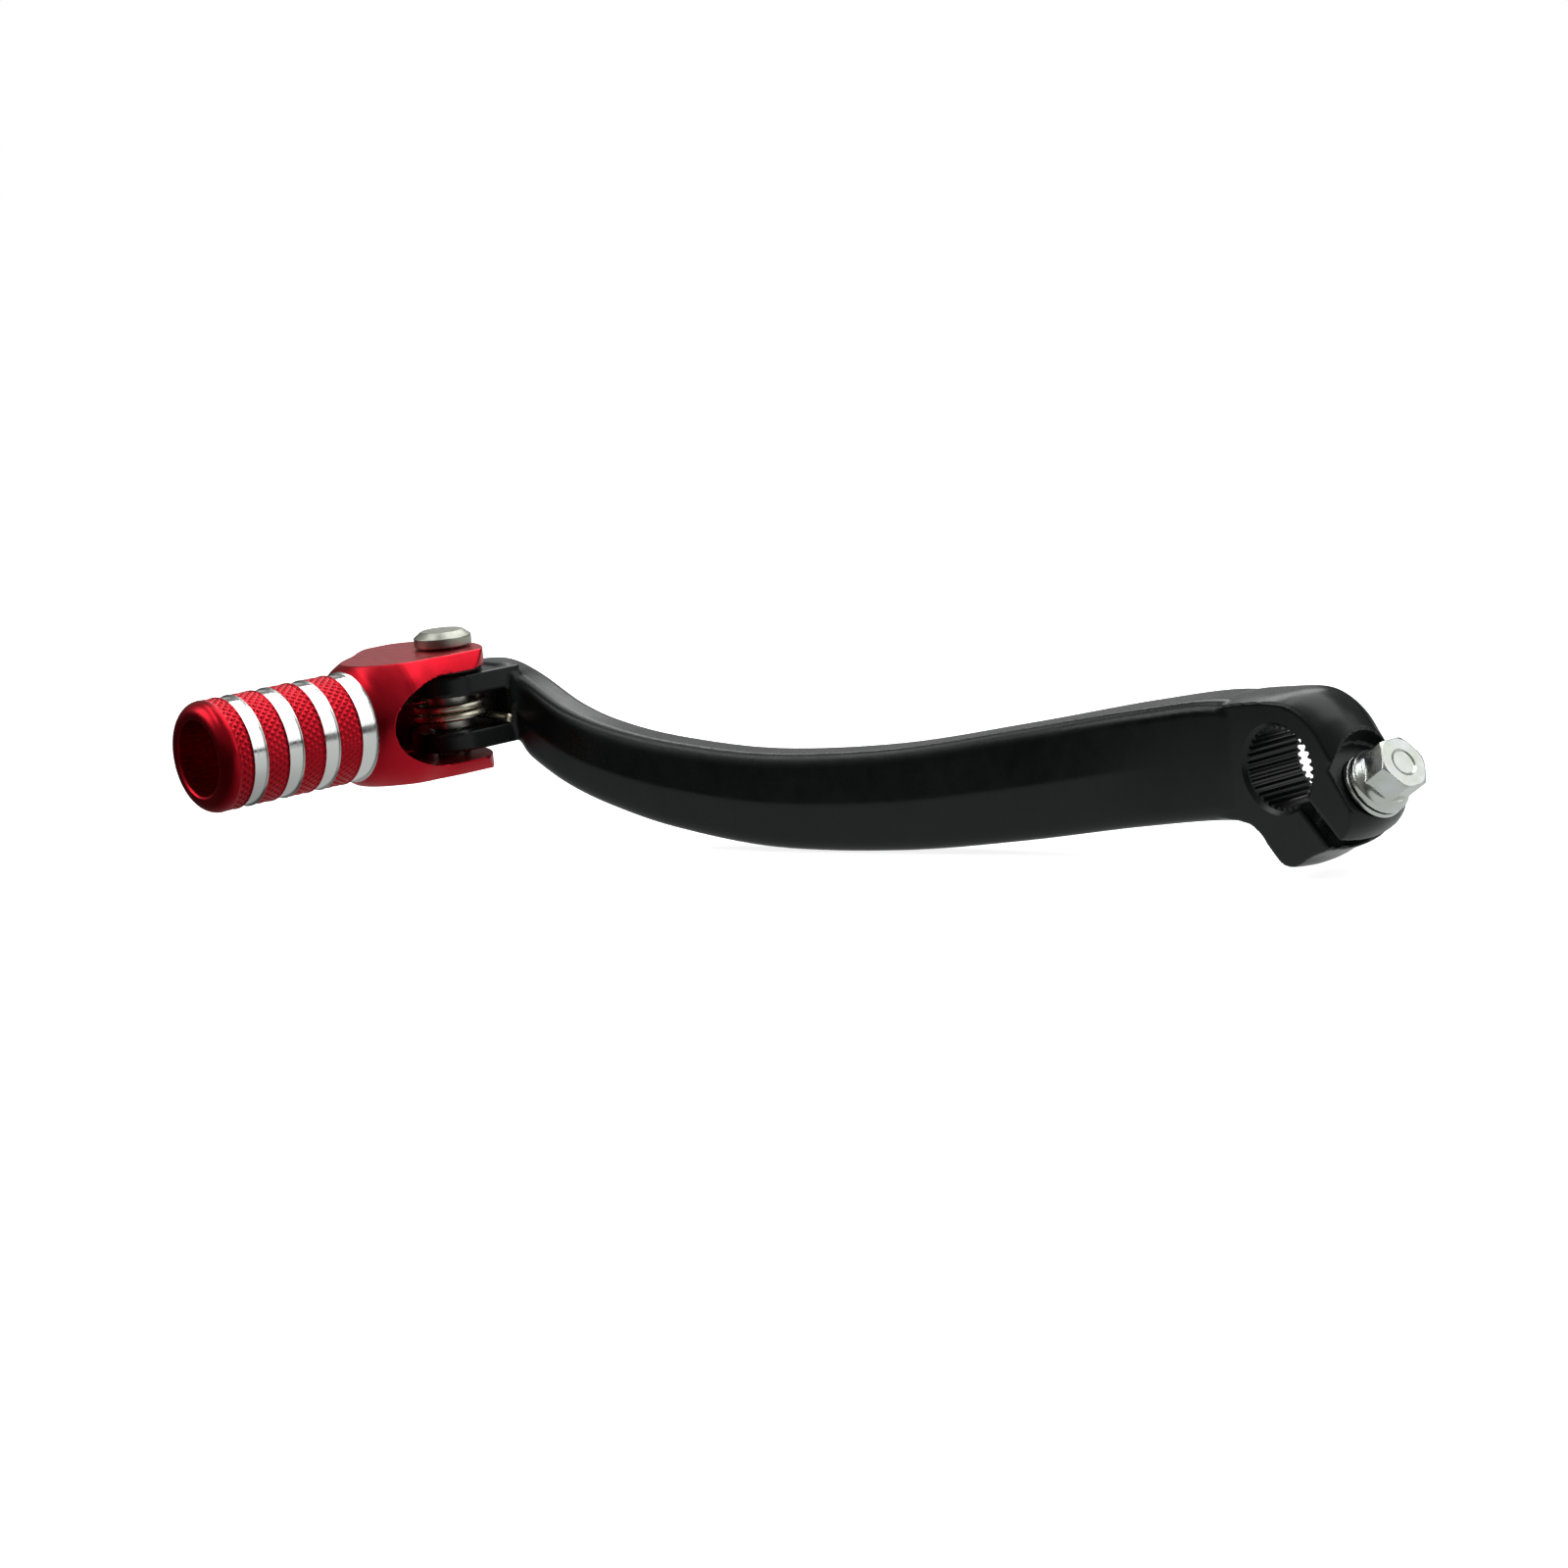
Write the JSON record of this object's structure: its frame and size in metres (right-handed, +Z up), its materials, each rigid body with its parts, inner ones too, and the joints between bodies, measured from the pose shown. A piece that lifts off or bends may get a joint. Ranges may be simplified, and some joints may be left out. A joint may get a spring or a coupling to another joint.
{
  "type": "gear shift lever",
  "caption": "Motorcycle gear shift lever: curved arm with a splined pinch clamp and a spring-return folding knurled toe tip on a vertical pivot pin.",
  "frame": {"origin": "centre of the splined bore, midway through the hub", "axes": "+Y along the shift shaft towards the engine, -X along the arm towards the tip, +Z up; the tip's pivot pin is parallel to Z and its peg points along -Y at rest"},
  "size_m": [0.1741, 0.1146, 0.0378],
  "materials": {
    "arm_anodised": "satin black anodised, forged",
    "tip_anodised": "red anodised, machined, with bare turned grooves",
    "stainless": "turned stainless",
    "clip_steel": "phosphated spring steel",
    "spring_steel": "bright drawn wire",
    "zinc_plate": "bright zinc plate",
    "nylon": "moulded"
  },
  "bodies": {
    "lever": {"lever_arm": "arm_anodised", "clamp_bolt": "zinc_plate", "clamp_washer": "zinc_plate", "spring_sleeve": "stainless", "thrust_washer": "nylon", "return_spring": "spring_steel"},
    "tip": {"toe_tip": "tip_anodised", "pivot_pin": "stainless", "retaining_clip": "clip_steel"}
  },
  "joints": [
    {"name": "tip_fold", "type": "hinge", "parent": "lever", "child": "tip", "pos_m": [-0.141, -0.058, 0.008], "axis": [0, 0, 1], "range_deg": [0, 65], "stiffness_Nm_per_rad": 0.15, "springref_deg": -85.94, "deforming": ["return_spring"]}
  ]
}
